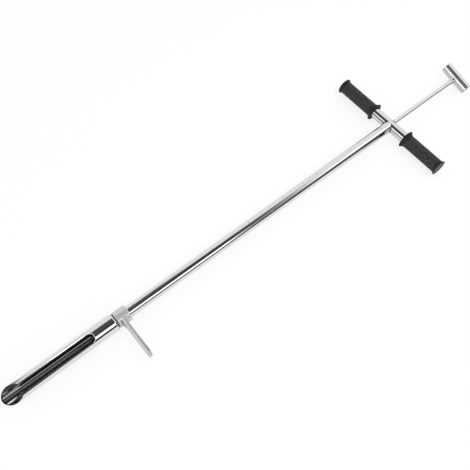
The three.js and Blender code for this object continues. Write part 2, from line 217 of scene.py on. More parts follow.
@dataclass(frozen=True)
class Finish:
    """A surface finish that builds its own material.

    The relief stands up by its depth, and its strength says how much of it is used. The haze, or else the
    relief, changes the roughness by what the spread says.
    """

    name: str
    colour: str
    metallic: float
    roughness: float
    relief: Grain
    depth: float
    strength: float
    spread: tuple[float, float]
    haze: Grain | None = None

    def material(self) -> bpy.types.Material:
        """Builds the material once, and gives it again after that.

        Returns:
            The material.
        """
        made = bpy.data.materials.get(self.name)
        if made is None:
            made = bpy.data.materials.new(self.name)
            made.use_nodes = True
            shader = made.node_tree.nodes["Principled BSDF"]
            shader.inputs["Base Color"].default_value = linear(self.colour)
            shader.inputs["Metallic"].default_value = self.metallic
            shader.inputs["Roughness"].default_value = self.roughness
            place = NodeSheet(made.node_tree).add("TexCoord").node.outputs["Object"]
            self.detail(Surface(made.node_tree, shader, place))
        return made

    def detail(self, on: Surface) -> None:
        """Adds what is finer than the shape."""
        self.cover(on, on.grain(self.relief))

    def cover(self, on: Surface, height: Socket) -> None:
        """Gives the shader a relief and a gloss that varies.

        Args:
            on: The material's nodes.
            height: The height of the relief, from 0 to 1.
        """
        less, more = self.spread
        on.wire("Roughness", on.add("MapRange", (
            on.grain(self.haze or self.relief), NOISE.start, NOISE.end,
            self.roughness + less, self.roughness + more,
        )))
        on.wire("Normal", on.add("Bump", {
            "Height": height, "Distance": self.depth, "Strength": self.strength,
        }))


@dataclass(frozen=True)
class ChromePlate(Finish):
    """Bright chrome plate on drawn steel tube: mirror bright, with faint lines left by drawing and buffing.

    Hands have dulled it in patches, and beside the weld of shaft and crossbar it is darkened by painted shade.
    """

    colour: str = "#E9EAEC"
    metallic: float = 1.0
    roughness: float = 0.05
    relief: Grain = Grain(mm(40, 1.2, 1.2))
    depth: float = 0.002 * MM
    strength: float = 0.4
    spread: tuple[float, float] = (0.0, 0.05)
    haze: Grain = Grain(mm(60, 25, 25))
    line_haze: float = 0.02
    joint: Vector | None = None
    # Painted shade: the dark colour and the reach of the darkened corners where the shaft meets the crossbar.
    painted_joint_shade: str = "#333435"
    joint_shade_beyond: Edge = Edge(16 * MM, 13 * MM)
    joint_shade_aside: Edge = Edge(6.25 * MM, 10 * MM)
    joint_shade_before: Edge = Edge(0.0, -2 * MM)

    def detail(self, on: Surface) -> None:
        """Adds the relief, the haze of the lines, and painted shade where there is a joint.

        Args:
            on: The material's nodes.
        """
        super().detail(on)
        lines = on.add("MapRange", (on.grain(self.relief), NOISE.start, NOISE.end, 0.0, self.line_haze))
        on.wire("Roughness", on.add("Math", (lines, on.wired("Roughness")), operation="ADD"))
        if self.joint is not None:
            self.shade_joint(on)

    def shade_joint(self, on: Surface) -> None:
        """Paints shade on the plate at both sides of the weld between the shaft and the crossbar.

        Args:
            on: The material's nodes.
        """
        off = on.add("VectorMath", (on.place, self.joint), operation="SUBTRACT")
        from_axes = []
        for flatten in (X_AXIS + Z_AXIS, Y_AXIS + Z_AXIS):
            flat = on.add("VectorMath", (off, flatten), operation="MULTIPLY")
            from_axes.append(on.add("VectorMath", (flat,), operation="LENGTH"))
        parts = on.add("SeparateXYZ", (off,)).node.outputs
        # Painted shade in the corners beside the weld.
        dark = on.mask(
            (on.add("Math", tuple(from_axes), operation="MAXIMUM"), self.joint_shade_beyond),
            (on.add("Math", (parts["Y"],), operation="ABSOLUTE"), self.joint_shade_aside),
            (parts["X"], self.joint_shade_before),
        )
        on.wire("Base Color", on.add("Mix", (dark, linear(self.colour), linear(self.painted_joint_shade)),
                                     data_type="RGBA"))


@dataclass(frozen=True)
class MarkedChrome(ChromePlate):
    """Chrome plate with depth marks on it, laid over the painted shade of a joint.

    The fine rings hold the last of their dark paint, and a dot stands between two of them.
    """

    centre: Vector = ORIGIN
    spacing: float = 100 * MM
    ring_first: float = 0.0
    ring_width: float = 1.0 * MM
    ring_paint: float = 0.25
    dot_first: float = 0.0
    dot_turn: float = 0.0
    dot_radius: float = 1.5 * MM
    dot_paint: float = 0.6
    paint: str = "#2A2B2D"
    paint_dullness: float = 0.5

    def detail(self, on: Surface) -> None:
        """Adds the chrome's detail and lays the paint of the rings and the dots over it.

        Args:
            on: The material's nodes.
        """
        super().detail(on)
        turned_back = on.add("Mapping", {
            "Vector": on.place, "Location": self.centre, "Rotation": (self.dot_turn, 0, 0),
        }, vector_type="TEXTURE")
        parts = on.add("SeparateXYZ", (turned_back,)).node.outputs
        near_ring, near_dot = [
            on.add("Math", (on.add("Math", (parts["X"], first), operation="SUBTRACT"), self.spacing / 2),
                   operation="PINGPONG")
            for first in (self.ring_first, self.dot_first)
        ]
        from_dot = on.add("VectorMath", (on.add("CombineXYZ", (near_dot, parts["Y"])),), operation="LENGTH")
        dot = on.add("Math", (
            on.add("Math", (from_dot, self.dot_radius), operation="LESS_THAN"),
            on.add("Math", (parts["Z"], 0.0), operation="GREATER_THAN"),
        ), operation="MULTIPLY")
        ring = on.add("Math", (near_ring, self.ring_width / 2), operation="LESS_THAN")
        worn = on.add("Math", (ring, self.ring_paint), operation="MULTIPLY")
        faded = on.add("Math", (dot, self.dot_paint), operation="MULTIPLY")
        painted = on.add("Math", (worn, faded), operation="MAXIMUM")
        on.wire("Base Color", on.add("Mix", (painted, on.wired("Base Color"), linear(self.paint)),
                                     data_type="RGBA"))
        on.wire("Metallic", on.add("Math", (1.0, faded), operation="SUBTRACT"))
        on.wire("Roughness", on.add("Math", (faded, self.paint_dullness, on.wired("Roughness")),
                                    operation="MULTIPLY_ADD"))


@dataclass(frozen=True)
class MouthBore(Finish):
    """A tube's bore that the heat of grinding has darkened along the edge of its mouth."""

    edge: Vector = ORIGIN
    inward: Vector = X_AXIS
    burnt: str = "#3A3A3B"
    burnt_width: Edge = Edge(0.9 * MM, 3 * MM)

    def detail(self, on: Surface) -> None:
        """Adds the relief and the dark band beside the mouth's plane.

        Args:
            on: The material's nodes.
        """
        super().detail(on)
        from_edge = on.add("VectorMath", (on.place, self.edge), operation="SUBTRACT")
        depth = on.add("VectorMath", (from_edge, self.inward), operation="DOT_PRODUCT")
        clean = on.mask((depth, self.burnt_width))
        on.wire("Base Color", on.add("Mix", (clean, linear(self.burnt), linear(self.colour)),
                                     data_type="RGBA"))


@dataclass(frozen=True)
class CastAluminium(Finish):
    """Sand-cast aluminium, tumbled and left bare: matte light grey with a soft grain and shallow pits.

    Painted shade darkens the crease beside the arm's root, and the flat part of the arm's upper side more and
    more towards its tip. Their edges lie along the tool, out from its axis or up, all from the arm's root on
    that axis.
    """

    pale: str = "#D2D3D5"
    cloud: Grain = Grain(mm(9, 9, 9))
    root: Vector = ORIGIN
    upper_side: Edge = Edge(0.0, 2 * MM)
    # Painted shade in the crease beside the arm's root: its colour, place and reach.
    painted_crease_shade: str = "#727375"
    crease_offset: float = 5.8 * MM
    crease_width: Edge = Edge(2 * MM, 0.6 * MM)
    crease_near: Edge = Edge(-9 * MM, -12 * MM)
    crease_far: Edge = Edge(-31 * MM, -28 * MM)
    # Painted shade on the flat part of the arm's upper side, growing towards the tip.
    painted_arm_shade: str = "#8A8B8D"
    arm_shade_share: float = 0.55
    arm_shade_side: Edge = Edge(-0.5 * MM, 1 * MM)
    arm_shade_near: Edge = Edge(-25 * MM, -90 * MM)
    arm_shade_far: Edge = Edge(-100 * MM, -94 * MM)

    def detail(self, on: Surface) -> None:
        """Adds the relief, a slow change of tone, and painted shade in the crease and on the arm's upper side.

        Args:
            on: The material's nodes.
        """
        super().detail(on)
        off = on.add("VectorMath", (on.place, self.root), operation="SUBTRACT")
        along, out, up = on.add("SeparateXYZ", (off,)).node.outputs
        beside = on.add("Math", (along, self.crease_offset), operation="ADD")
        # Painted shade in the crease.
        crease = on.mask(
            (on.add("Math", (beside,), operation="ABSOLUTE"), self.crease_width),
            (out, self.crease_near), (out, self.crease_far), (up, self.upper_side),
        )
        # Painted shade on the arm's upper side.
        arm_shade_mask = on.mask((along, self.arm_shade_side), (out, self.arm_shade_near), (out, self.arm_shade_far),
                          (up, self.upper_side))
        arm_shade_mask = on.add("Math", (arm_shade_mask, self.arm_shade_share), operation="MULTIPLY")
        colour = linear(self.colour)
        cloud = on.mask((on.grain(self.cloud), NOISE))
        for share, other in ((cloud, self.pale), (crease, self.painted_crease_shade), (arm_shade_mask, self.painted_arm_shade)):
            colour = on.add("Mix", (share, colour, linear(other)), data_type="RGBA")
        on.wire("Base Color", colour)


@dataclass(frozen=True)
class MouldedRubber(Finish):
    """Black moulded grip rubber: dull, with rows of small raised dots round the grip.

    The dots are twice as coarse as real ones so that they show, and use has made them paler in places.
    """

    colour: str = "#141516"
    metallic: float = 0.0
    roughness: float = 0.5
    relief: Grain = Grain(mm(0.6, 0.6, 0.6), 0.6)
    depth: float = 0.5 * MM
    strength: float = 0.8
    spread: tuple[float, float] = (-0.05, 0.08)
    haze: Grain = Grain(mm(18, 18, 18))
    refraction: float = 1.4
    centre: Vector = ORIGIN
    rows: float = 22.0
    pitch: float = 4.2 * MM
    dot_edge: Edge = Edge(-0.2, 0.9)
    inner: Edge = Edge(0.0, 1.0)
    outer: Edge = Edge(1.0, 0.0)
    skin: float = 0.08
    worn: str = "#636467"
    wear: Grain = Grain(mm(2, 4, 2), 0.6)
    # From and to of the wear's noise, and how much of the worn colour shows at each.
    wear_range: tuple[float, float, float, float] = (0.35, 0.65, 0.1, 1.0)

    def detail(self, on: Surface) -> None:
        """Adds the dots, the fine relief of the mould between them, and their wear.

        Args:
            on: The material's nodes.
        """
        off = on.add("VectorMath", (on.place, self.centre), operation="SUBTRACT")
        across, along, up = on.add("SeparateXYZ", (off,)).node.outputs
        turn = on.add("Math", (across, up), operation="ARCTAN2")
        waves = []
        for value, factor in ((turn, self.rows), (along, 2 * math.pi / self.pitch)):
            phase = on.add("Math", (value, factor), operation="MULTIPLY")
            waves.append(on.add("Math", (phase,), operation="SINE"))
        distance = on.add("Math", (along,), operation="ABSOLUTE")
        dots = on.mask((on.add("Math", tuple(waves), operation="MULTIPLY"), self.dot_edge),
                       (distance, self.inner), (distance, self.outer))
        self.cover(on, on.add("Math", (on.grain(self.relief), self.skin, dots), operation="MULTIPLY_ADD"))
        wear = on.add("MapRange", (on.grain(self.wear), *self.wear_range))
        pale = on.add("Math", (dots, wear), operation="MULTIPLY")
        on.wire("Base Color", on.add("Mix", (pale, linear(self.colour), linear(self.worn)),
                                     data_type="RGBA"))
        on.shader.inputs["IOR"].default_value = self.refraction


CHROME = ChromePlate("chrome_plate_along")
CROSS_CHROME = ChromePlate("chrome_plate_across", relief=Grain(mm(1.2, 40, 1.2)))
# Ground bare steel of the mouth, coloured dark as painted shade, with scratches across the edge, coarser than
# real ones so that they show.
EDGE = Finish("mouth_edge_painted_shade", "#4E4F52", 1.0, 0.3, Grain(mm(0.5, 6, 6), 0.7), 0.015 * MM, 0.6,
              (-0.05, 0.08))
# The slot's rim: a painted highlight, near-white and barely metallic, that draws a fine white line round it.
SLOT_RIM_PAINTED_HIGHLIGHT = replace(EDGE, name="slot_rim_painted_highlight", colour="#FAFAFB", metallic=0.15, roughness=0.4)
CAST = CastAluminium("sand_cast_aluminium", "#C8C9CB", 0.5, 0.3, Grain(mm(0.9, 0.9, 0.9), 0.65),
                     0.06 * MM, 0.7, (-0.06, 0.08))
# Nitrile seal rubber: black, slightly shiny from smears of grease.
SEAL = Finish("nitrile_rubber", "#151516", 0.0, 0.45, Grain(mm(4, 4, 4), 0.6), 0.01 * MM, 0.5, (-0.12, 0.1))
# The grip's end: dark grey, paler than the rubber, as a painted highlight.
GRIP_END_PAINTED_HIGHLIGHT = replace(SEAL, name="grip_end_painted_highlight", colour="#4C4D4E", roughness=0.5)
# Sintered bronze, oiled: brownish grey metal with an open grain of pressed powder.
BRONZE = Finish("sintered_bronze", "#8F8C86", 1.0, 0.42, Grain(mm(0.4, 0.4, 0.4), 0.7), 0.03 * MM, 0.8,
                (-0.08, 0.12))
# Steel coloured dark as painted shade for the neck between the flange and the collar, with drawing lines along
# the tube and patches of thicker scale.
NECK_PAINTED_SHADE_STEEL = Finish("neck_painted_shade", "#6C6D6F", 1.0, 0.45, Grain(mm(300, 1.6, 1.6)), 0.001 * MM, 0.4,
               (-0.01, 0.01), Grain(mm(150, 8, 8)))
BORE = MouthBore("drawn_tube_bore", "#A8A8AA", 1.0, 0.1, NECK_PAINTED_SHADE_STEEL.relief, NECK_PAINTED_SHADE_STEEL.depth, NECK_PAINTED_SHADE_STEEL.strength,
                 NECK_PAINTED_SHADE_STEEL.spread, NECK_PAINTED_SHADE_STEEL.haze)
# Zinc plated turned steel: dull grey, with lathe rings that are coarser than real ones so that they show.
STEEL = Finish("turned_zinc_steel", "#A4A7AA", 1.0, 0.34, Grain(mm(0.25, 60, 60)), 0.01 * MM, 0.7,
               (-0.05, 0.1), Grain(mm(5, 5, 5)))


# Modelling


@dataclass(frozen=True)
class Spindle:
    """The line that a turned piece is turned about."""

    centre: Vector
    axis: Vector
    outward: Vector

    def point(self, along: float, radius: float) -> Vector:
        """Gives the point at a distance along the line and a distance off it."""
        return self.centre + self.axis * along + self.outward * radius


def select_only(piece: Piece) -> None:
    """Leaves one object selected and active.

    Args:
        piece: The object.
    """
    bpy.ops.object.select_all(action="DESELECT")
    piece.select_set(True)
    bpy.context.view_layer.objects.active = piece


@contextmanager
def editing(kind: str, action: str) -> Iterator[None]:
    """Opens the active object in edit mode, and closes it again.

    Args:
        kind: VERT or EDGE, what is selected.
        action: SELECT to start with all selected, or DESELECT.
    """
    bpy.ops.object.mode_set(mode="EDIT")
    bpy.ops.mesh.select_mode(type=kind)
    bpy.ops.mesh.select_all(action=action)
    yield
    bpy.ops.object.mode_set(mode="OBJECT")


def pick(elements: bpy.types.bpy_prop_collection, chosen: Callable[[bpy.types.bpy_struct], bool]) -> None:
    """Selects some vertices or edges of the object in edit mode.

    Args:
        elements: All vertices or all edges of the object's mesh.
        chosen: Says of each whether it is selected.
    """
    bpy.ops.object.mode_set(mode="OBJECT")
    for element in elements:
        element.select = chosen(element)
    bpy.ops.object.mode_set(mode="EDIT")


def arc(along: float, radius: float, size: float, start: float, end: float, steps: int) -> Outline:
    """Gives points of a round in an outline.

    Args:
        along: Place of the round's centre along the spindle.
        radius: Place of the round's centre off the spindle.
        size: Radius of the round.
        start: First angle in degrees, from the spindle's direction towards its outside.
        end: Last angle in degrees.
        steps: Number of straight stretches.

    Returns:
        Points as distances along and off the spindle.
    """
    angles = [math.radians(start + (end - start) * step / steps) for step in range(steps + 1)]
    return [(along + size * math.cos(angle), radius + size * math.sin(angle)) for angle in angles]


def turned(name: str, spindle: Spindle, outline: Outline, sides: int) -> Piece:
    """Draws an outline point by point and spins it round.

    Args:
        name: The piece's name.
        spindle: What it is turned about.
        outline: Points along and off the spindle. One that starts off the axis is closed.
        sides: Number of facets round it.

    Returns:
        The turned piece.
    """
    closed = outline if outline[0][1] == 0 else [*outline, outline[0]]
    points = [spindle.point(along, radius) for along, radius in closed]
    bpy.ops.object.select_all(action="DESELECT")
    bpy.ops.mesh.primitive_plane_add(size=MM, location=points[0])
    piece = bpy.context.active_object
    piece.name = name
    with editing("VERT", "SELECT"):
        bpy.ops.mesh.merge(type="CENTER")
        for start, end in zip(points, points[1:]):
            bpy.ops.mesh.extrude_vertices_move(TRANSFORM_OT_translate={"value": end - start})
        bpy.ops.mesh.select_all(action="SELECT")
        bpy.ops.mesh.remove_doubles(threshold=MERGE_DISTANCE)
        bpy.ops.mesh.spin(steps=sides, angle=2 * math.pi, center=spindle.centre, axis=spindle.axis,
                          use_auto_merge=True)
        bpy.ops.mesh.select_all(action="SELECT")
        bpy.ops.mesh.remove_doubles(threshold=MERGE_DISTANCE)
        bpy.ops.mesh.normals_make_consistent(inside=False)
    settle(piece)
    return piece


def settle(piece: Piece) -> None:
    """Puts a piece's place, turn and size into its mesh."""
    select_only(piece)
    bpy.ops.object.transform_apply(location=True, rotation=True, scale=True)


def smooth(piece: Piece, angle: float = 32) -> None:
    """Shades a piece smooth, but for edges sharper than an angle in degrees."""
    select_only(piece)
    bpy.ops.object.shade_smooth_by_angle(angle=math.radians(angle))


def apply_modifier(piece: Piece, kind: str, **settings: object) -> None:
    """Adds a modifier with its settings and applies it.

    Args:
        piece: The piece.
        kind: The modifier's type.
        **settings: The modifier's properties.
    """
    select_only(piece)
    added = piece.modifiers.new(kind.lower(), kind)
    for name, value in settings.items():
        setattr(added, name, value)
    bpy.ops.object.modifier_apply(modifier=added.name)


def combine(piece: Piece, other: Piece, operation: str) -> None:
    """Joins or cuts a piece with another, which is used up.

    Args:
        piece: The piece that stays.
        other: The other piece.
        operation: DIFFERENCE or UNION.
    """
    apply_modifier(piece, "BOOLEAN", object=other, operation=operation, solver="EXACT")
    bpy.data.objects.remove(other, do_unlink=True)


def drill(piece: Piece, radius: float, depth: float, middle: Vector, turn: tuple[float, float, float],
          sides: int) -> None:
    """Cuts a round hole or hollow out of a piece.

    Args:
        piece: The piece.
        radius: The hole's radius.
        depth: The drill's length.
        middle: The drill's middle.
        turn: How the drill is turned from standing upright.
        sides: Number of facets round it.
    """
    bpy.ops.object.select_all(action="DESELECT")
    bpy.ops.mesh.primitive_cylinder_add(vertices=sides, radius=radius, depth=depth, location=middle,
                                        rotation=turn)
    cutter = bpy.context.active_object
    settle(cutter)
    combine(piece, cutter, "DIFFERENCE")


def dress(piece: Piece, body: Body, slot: Slot, finish: Finish, *nodes: str) -> None:
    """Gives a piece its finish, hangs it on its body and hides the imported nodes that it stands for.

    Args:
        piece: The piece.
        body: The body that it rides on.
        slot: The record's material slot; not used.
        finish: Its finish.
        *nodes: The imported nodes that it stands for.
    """
    piece.data.materials.clear()
    piece.data.materials.append(finish.material())
    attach(piece, body.value)
    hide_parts(*nodes)
    LOG.info("%s: %d faces, %s", piece.name, len(piece.data.polygons), finish.name)


def second_finish(piece: Piece, finish: Finish, chosen: Callable[[bpy.types.MeshPolygon], bool]) -> None:
    """Gives some faces of a piece another finish.

    Args:
        piece: The piece, with its main finish on it.
        finish: The other finish.
        chosen: Says of a face whether it is one of them.
    """
    piece.data.materials.append(finish.material())
    index = len(piece.data.materials) - 1
    for face in piece.data.polygons:
        if chosen(face):
            face.material_index = index


# The tool


@dataclass
class Layout:
    """Where the tool lies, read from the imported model."""

    tip: float = 0.0
    height: float = 0.0
    tube_top: float = 0.0
    barrel_top: float = 0.0
    crossbar: float = 0.0
    neck_height: float = 2.1 * MM

    def __post_init__(self) -> None:
        """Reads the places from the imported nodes."""
        low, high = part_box("sampling_tube")
        self.tip = low.x
        self.tube_top = high.x
        self.barrel_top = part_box("barrel_head")[1].x - self.neck_height
        low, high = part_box("shaft_tube")
        self.height = (low.z + high.z) / 2
        low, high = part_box("crossbar_tube")
        self.crossbar = (low.x + high.x) / 2

    def axis(self) -> Spindle:
        """Gives the tool's axis, from the tip towards the handle."""
        return Spindle(Vector((self.tip, 0, self.height)), X_AXIS, Z_AXIS)

    def crossing(self) -> Vector:
        """Gives the point where the crossbar meets the tool's axis."""
        return Vector((self.crossbar, 0, self.height))


@dataclass
class SamplingBarrel:
    """The slotted sampling tube and the head that closes it."""

    layout: Layout
    radius: float = 19 * MM
    wall: float = 1.5 * MM
    mouth_cut: float = 43.5 * MM
    mouth_bevel: float = 1.9 * MM
    mouth_tilt: float = 0.1
    slot_width: float = 20.5 * MM
    slot_length: float = 207.5 * MM
    slot_turn: float = math.radians(21)
    slot_segments: int = 32
    rim_size: float = 0.45 * MM
    rim_reach: float = 0.45
    rim_sharpness: float = math.radians(35)
    flange_round: float = 1.5 * MM
    flange_thickness: float = 3 * MM
    neck_radius: float = 16 * MM
    socket_radius: float = 12.6 * MM
    socket_depth: float = 12 * MM
    rod_hole: float = 6.7 * MM
    recess_radius: float = 10.2 * MM
    recess_depth: float = 3.2 * MM
    spigot_chamfer: float = 0.5 * MM
    overrun: float = 6 * MM
    sides: int = 256

    def build(self) -> None:
        """Builds the tube and its head."""
        self.tube()
        self.head()

    def tube(self) -> None:
        """Models the tube: a wall, the slanting mouth ground to an edge, and the slot."""
        tip, top, height = self.layout.tip, self.layout.tube_top, self.layout.height
        bore = self.radius - self.wall
        start = tip - self.overrun
        bpy.ops.object.select_all(action="DESELECT")
        bpy.ops.mesh.primitive_cylinder_add(
            vertices=self.sides, radius=bore, depth=top - start, end_fill_type="NOTHING",
            location=((top + start) / 2, 0, height), rotation=ALONG_X,
        )
        piece = bpy.context.active_object
        piece.name = "slotted_tube"
        settle(piece)
        apply_modifier(piece, "SOLIDIFY", thickness=self.wall, offset=1.0, use_even_offset=True)
        low_edge, slope = self.mouth_plane(bore)
        self.cut_mouth(piece, bore, low_edge, slope)
        combine(piece, self.slot_cutter(top - tip), "DIFFERENCE")
        bead_faces = self.round_slot(piece)
        smooth(piece)
        dress(piece, Body.FRAME, Slot.CHROME, CHROME, "sampling_tube")
        first_bead = len(piece.data.polygons) - bead_faces

        def on_bore(face: bpy.types.MeshPolygon) -> bool:
            """Says whether a face is on the inside of the tube."""
            return math.hypot(face.center.y, face.center.z - height) < bore + SLACK

        def on_edge(face: bpy.types.MeshPolygon) -> bool:
            """Says whether a face is on the ground mouth."""
            return tip <= face.center.x < tip + self.mouth_cut + self.mouth_bevel \
                and abs(face.normal.x) > self.mouth_tilt and not on_bore(face)

        second_finish(piece, replace(BORE, edge=low_edge, inward=slope), on_bore)
        # Painted shade: the ground mouth is coloured dark.
        second_finish(piece, EDGE, on_edge)
        # Painted highlight: the bead round the slot's end is coloured near-white.
        second_finish(piece, SLOT_RIM_PAINTED_HIGHLIGHT, lambda face: face.index >= first_bead)

    def mouth_plane(self, bore: float) -> tuple[Vector, Vector]:
        """Finds the plane that the bore's edge lies in.

        Args:
            bore: The tube's inner radius.

        Returns:
            Its point nearest the tip, and its direction into the tube.
        """
        tilt = Matrix.Rotation(self.slot_turn, 3, "X")
        low_edge = Vector((self.layout.tip, 0, self.layout.height)) + tilt @ Vector((0, 0, -bore))
        return low_edge, (tilt @ Vector((2 * bore, 0, -self.mouth_cut))).normalized()

    def cut_mouth(self, piece: Piece, bore: float, low_edge: Vector, slope: Vector) -> None:
        """Cuts the slanting mouth and moves its outer edge back, which leaves the bore's edge sharp.

        Args:
            piece: The tube, with its wall.
            bore: The tube's inner radius.
            low_edge: A point of the mouth's plane.
            slope: The plane's direction into the tube.
        """
        def on_rim(vertex: bpy.types.MeshVertex) -> bool:
            """Says whether a vertex is on the mouth's outer edge."""
            off_axis = math.hypot(vertex.co.y, vertex.co.z - self.layout.height)
            return off_axis > bore + self.wall / 2 and abs((vertex.co - low_edge).dot(slope)) < TOUCH

        with editing("EDGE", "SELECT"):
            bpy.ops.mesh.bisect(plane_co=low_edge, plane_no=slope, clear_inner=True, use_fill=False)
            bpy.ops.mesh.bridge_edge_loops()
            bpy.ops.mesh.select_mode(type="VERT")
            bpy.ops.mesh.select_all(action="DESELECT")
            pick(piece.data.vertices, on_rim)
            bpy.ops.transform.translate(value=(self.mouth_bevel, 0, 0))
            bpy.ops.mesh.select_all(action="SELECT")
            bpy.ops.mesh.normals_make_consistent(inside=False)

    def round_slot(self, piece: Piece) -> int:
        """Lays a fine round bead along the slot's round end, as polishing and plating leave it.

        Args:
            piece: The tube, with its slot cut.

        Returns:
            How many faces the bead has. They are the tube's last ones.
        """
        centre = Vector((0, 0, self.layout.height))
        turned_back = Matrix.Rotation(-self.slot_turn, 3, "X")
        slot_end = self.layout.tip + self.slot_length
        round_start = slot_end - self.rim_reach * self.slot_width

        def on_rim(edge: bpy.types.MeshEdge) -> bool:
            """Says whether a sharp edge is on the outside of the slot's round end."""
            ends = [turned_back @ (piece.data.vertices[index].co - centre) for index in edge.vertices]
            return edge.select and all(
                math.hypot(end.y, end.z) > self.radius - SLACK and end.z > 0
                and abs(end.y) < self.slot_width / 2 + SLACK and round_start < end.x < slot_end + MM
                for end in ends
            )

        select_only(piece)
        with editing("EDGE", "DESELECT"):
            bpy.ops.mesh.edges_select_sharp(sharpness=self.rim_sharpness)
            pick(piece.data.edges, on_rim)
            bpy.ops.mesh.duplicate()
            bpy.ops.mesh.separate(type="SELECTED")
        bead = next(other for other in bpy.context.selected_objects if other is not piece)
        select_only(bead)
        bpy.ops.object.convert(target="CURVE")
        bead.data.bevel_depth = self.rim_size
        bead.data.bevel_resolution = 2
        bead.data.use_fill_caps = True
        bpy.ops.object.convert(target="MESH")
        faces = len(bead.data.polygons)
        select_only(piece)
        bead.select_set(True)
        bpy.ops.object.join()
        return faces

    def slot_cutter(self, length: float) -> Piece:
        """Models the cutter of the slot, a bar with a round upper end.

        Args:
            length: The tube's length.

        Returns:
            The cutter.
        """
        start = -self.overrun
        depth = self.radius + self.overrun
        half = self.slot_width / 2
        bpy.ops.object.select_all(action="DESELECT")
        bpy.ops.mesh.primitive_cube_add(size=1)
        cutter = bpy.context.active_object
        cutter.scale = (self.slot_length - start, self.slot_width, depth)
        cutter.location = ((self.slot_length + start) / 2, 0, depth / 2)
        settle(cutter)

        def on_end(edge: bpy.types.MeshEdge) -> bool:
            """Says whether an edge stands upright at the slot's upper end."""
            first, last = [cutter.data.vertices[index].co for index in edge.vertices]
            return min(first.x, last.x) > start + length / 2 and abs(first.z - last.z) > half

        with editing("VERT", "DESELECT"):
            pick(cutter.data.edges, on_end)
            bpy.ops.mesh.select_mode(type="EDGE")
            bpy.ops.mesh.bevel(offset=half - MERGE_DISTANCE, segments=self.slot_segments, affect="EDGES")
        cutter.rotation_euler = (self.slot_turn, 0, 0)
        cutter.location = (self.layout.tip, 0, self.layout.height)
        settle(cutter)
        return cutter

    def head(self) -> None:
        """Models the head: the spigot in the tube, the rounded flange over its end and the neck."""
        low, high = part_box("barrel_head")
        tip, seam = self.layout.tip, self.layout.barrel_top
        bottom, flange_top, neck_top = low.x - tip, seam - tip, high.x - tip
        flange_bottom = flange_top - self.flange_thickness
        floor = flange_top - self.socket_depth
        recess_top = bottom + self.recess_depth
        spigot = self.radius - self.wall - FIT
        outline = [
            (bottom, self.recess_radius), (bottom, spigot - self.spigot_chamfer),
            (bottom + self.spigot_chamfer, spigot), (flange_bottom, spigot), (flange_bottom, self.radius),
            *[(flange_bottom + self.flange_thickness * along,
               self.radius - self.flange_round + self.flange_round * out)
              for along, out in arc(0, 0, 1, 90, 0, 10)],
            (flange_top, self.neck_radius), (neck_top, self.neck_radius), (neck_top, self.socket_radius),
            (floor, self.socket_radius), (floor, self.rod_hole), (recess_top, self.rod_hole),
            (recess_top, self.recess_radius),
        ]
        piece = turned("tube_head", self.layout.axis(), outline, self.sides // 2)
        smooth(piece)
        dress(piece, Body.FRAME, Slot.CHROME, CHROME, "barrel_head")
        # Painted shade: the neck is coloured dark so that it shows as a shadowed seam between the flange and
        # the collar.
        second_finish(piece, NECK_PAINTED_SHADE_STEEL, lambda face: face.center.x > seam - TOUCH)


@dataclass
class Shaft:
    """The long tube with its depth marks."""

    layout: Layout
    radius: float = 12.5 * MM
    wall: float = 2 * MM
    first_mark: float = 105 * MM
    spacing: float = 100 * MM
    marks: int = 7
    mark_width: float = 0.8 * MM
    mark_depth: float = 0.02 * MM
    mark_margin: float = 0.3 * MM
    dot_share: float = 0.42
    dot_turn: float = math.radians(-9)
    sides: int = 192
    sharp: float = 5

    def build(self) -> None:
        """Models the shaft, with its upper end cut to the round of the crossbar."""
        tip = self.layout.tip
        bottom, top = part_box("shaft_tube")[0].x - tip, self.layout.crossbar - tip
        first = self.layout.barrel_top + self.first_mark
        bore = self.radius - self.wall
        half = self.mark_width / 2
        outline = [(bottom, bore), (bottom, self.radius)]
        for mark in range(self.marks):
            at = first - tip + mark * self.spacing
            outline += [
                (at - half - self.mark_margin, self.radius), (at - half, self.radius),
                (at, self.radius - self.mark_depth),
                (at + half, self.radius), (at + half + self.mark_margin, self.radius),
            ]
        outline += [(top, self.radius), (top, bore)]
        piece = turned("graduated_shaft", self.layout.axis(), outline, self.sides)
        drill(piece, self.radius + WELD_GAP, 6 * self.radius, self.layout.crossing(), ALONG_Y, self.sides)
        smooth(piece, self.sharp)
        # The shaft's chrome gets painted shade beside the weld, under its marks.
        marked = MarkedChrome(
            "chrome_plate_marked", joint=self.layout.crossing(), centre=Vector((0, 0, self.layout.height)),
            spacing=self.spacing, ring_first=first, ring_width=self.mark_width,
            dot_first=first + self.dot_share * self.spacing, dot_turn=self.dot_turn,
        )
        dress(piece, Body.FRAME, Slot.CHROME, marked, "shaft_tube")


